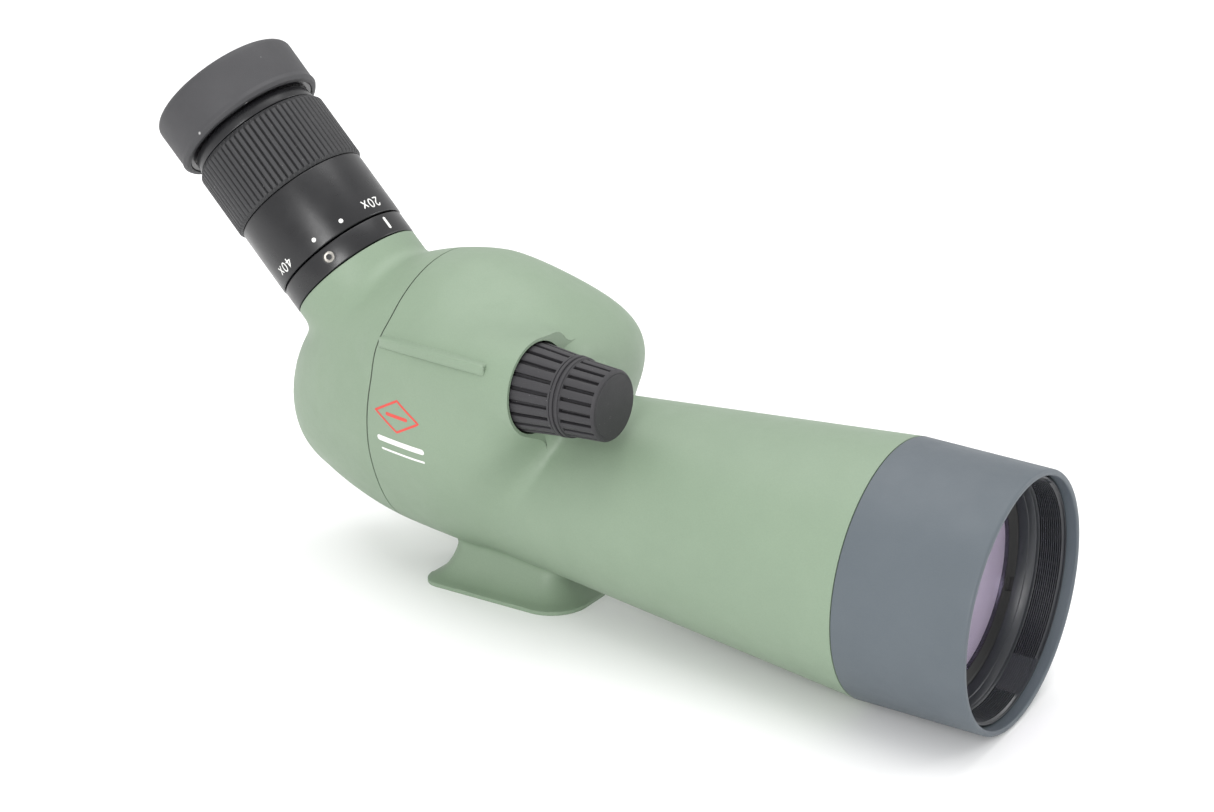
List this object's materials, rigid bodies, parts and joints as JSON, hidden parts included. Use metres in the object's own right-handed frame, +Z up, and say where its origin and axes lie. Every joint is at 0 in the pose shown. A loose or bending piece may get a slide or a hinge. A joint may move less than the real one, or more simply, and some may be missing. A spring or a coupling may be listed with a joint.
{
  "type": "spotting scope",
  "caption": "Compact angled spotting scope with a tapered body, rubber hood, side focus knob, rotating zoom eyepiece, twist-up eyecup and a tripod foot.",
  "frame": {"origin": "mouth of the tripod thread, in the middle of the foot's flat underside", "axes": "+X along the optical axis towards the objective, +Z up, +Y to the observer's left looking forward"},
  "size_m": [0.2518, 0.069, 0.1329],
  "materials": {
    "green_paint": "matte sage green paint with a fine texture",
    "hood_rubber": "matte blue-grey rubber armour",
    "black_anodised": "satin black anodised",
    "knob_rubber": "matte black moulded rubber",
    "grip_rubber": "matte ribbed rubber",
    "eyecup_rubber": "soft matte rubber",
    "seal_rubber": "smooth rubber",
    "optical_glass": "polished, anti-reflection coated",
    "bare_steel": "turned",
    "bare_brass": "turned"
  },
  "bodies": {
    "scope": {"front_housing": "green_paint", "rear_cover": "green_paint", "cover_seal": "seal_rubber", "cover_screws": "bare_steel", "tripod_bush": "bare_steel", "hood": "hood_rubber", "objective_cell": "black_anodised", "front_objective_lens": "optical_glass", "rear_objective_lens": "optical_glass", "lens_spacer": "black_anodised", "objective_retaining_ring": "black_anodised", "objective_seal": "seal_rubber", "light_baffles": "black_anodised", "prism_bracket": "black_anodised", "bracket_screws": "bare_steel", "guide_rods": "bare_steel", "deflection_prism": "optical_glass", "knob_bush": "bare_brass", "eyepiece_base_ring": "black_anodised", "base_set_screw": "bare_steel", "eyepiece_seal": "seal_rubber", "inner_barrel": "black_anodised", "field_stop": "black_anodised", "eye_sleeve": "black_anodised", "eye_lens": "optical_glass", "eye_lens_ring": "black_anodised"},
    "focus_knob": {"focus_shaft": "bare_steel", "knob_core": "black_anodised", "knob_grip": "knob_rubber", "knob_cap": "knob_rubber", "shaft_clip": "bare_steel"},
    "prism_carriage": {"prism_carriage": "black_anodised", "erecting_prism": "optical_glass", "prism_clip": "bare_steel", "focus_nut": "bare_brass"},
    "zoom_ring": {"zoom_ring": "black_anodised", "zoom_grip": "grip_rubber", "cam_sleeve": "bare_brass"},
    "front_zoom_cell": {"front_zoom_cell": "black_anodised", "front_zoom_lens": "optical_glass"},
    "rear_zoom_cell": {"rear_zoom_cell": "black_anodised", "rear_zoom_lens": "optical_glass"},
    "eyecup_guide": {"eyecup_guide_ring": "black_anodised"},
    "eyecup": {"eyecup_core": "black_anodised", "eyecup_rubber": "eyecup_rubber"}
  },
  "joints": [
    {"name": "focus_turn", "type": "hinge", "parent": "scope", "child": "focus_knob", "pos_m": [0.03, -0.0228, 0.0656], "axis": [1, 0, 0], "range_deg": [-364, 364]},
    {"name": "carriage_slide", "type": "slide", "parent": "scope", "child": "prism_carriage", "axis": [1, 0, 0], "range_m": [-0.004, 0.004]},
    {"name": "zoom_turn", "type": "hinge", "parent": "scope", "child": "zoom_ring", "pos_m": [-0.06616, 0, 0.08576], "axis": [-0.7071, 0, 0.7071], "range_deg": [0, 97.4]},
    {"name": "front_cell_slide", "type": "slide", "parent": "scope", "child": "front_zoom_cell", "axis": [-0.7071, 0, 0.7071], "range_m": [0, 0.0081]},
    {"name": "rear_cell_slide", "type": "slide", "parent": "scope", "child": "rear_zoom_cell", "axis": [-0.7071, 0, 0.7071], "range_m": [-0.0061, 0]},
    {"name": "eyecup_turn", "type": "hinge", "parent": "scope", "child": "eyecup_guide", "pos_m": [-0.09021, 0, 0.10981], "axis": [-0.7071, 0, 0.7071], "range_deg": [0, 270]},
    {"name": "eyecup_rise", "type": "slide", "parent": "eyecup_guide", "child": "eyecup", "axis": [-0.7071, 0, 0.7071], "range_m": [0, 0.0061]}
  ],
  "couplings": [
    {"joint": "focus_turn", "follows": "carriage_slide", "rad_per_m": 1570.8},
    {"joint": "front_cell_slide", "follows": "zoom_turn", "m_per_rad": 0.004706},
    {"joint": "rear_cell_slide", "follows": "zoom_turn", "m_per_rad": -0.0035295},
    {"joint": "eyecup_rise", "follows": "eyecup_turn", "m_per_rad": 0.0012732}
  ]
}
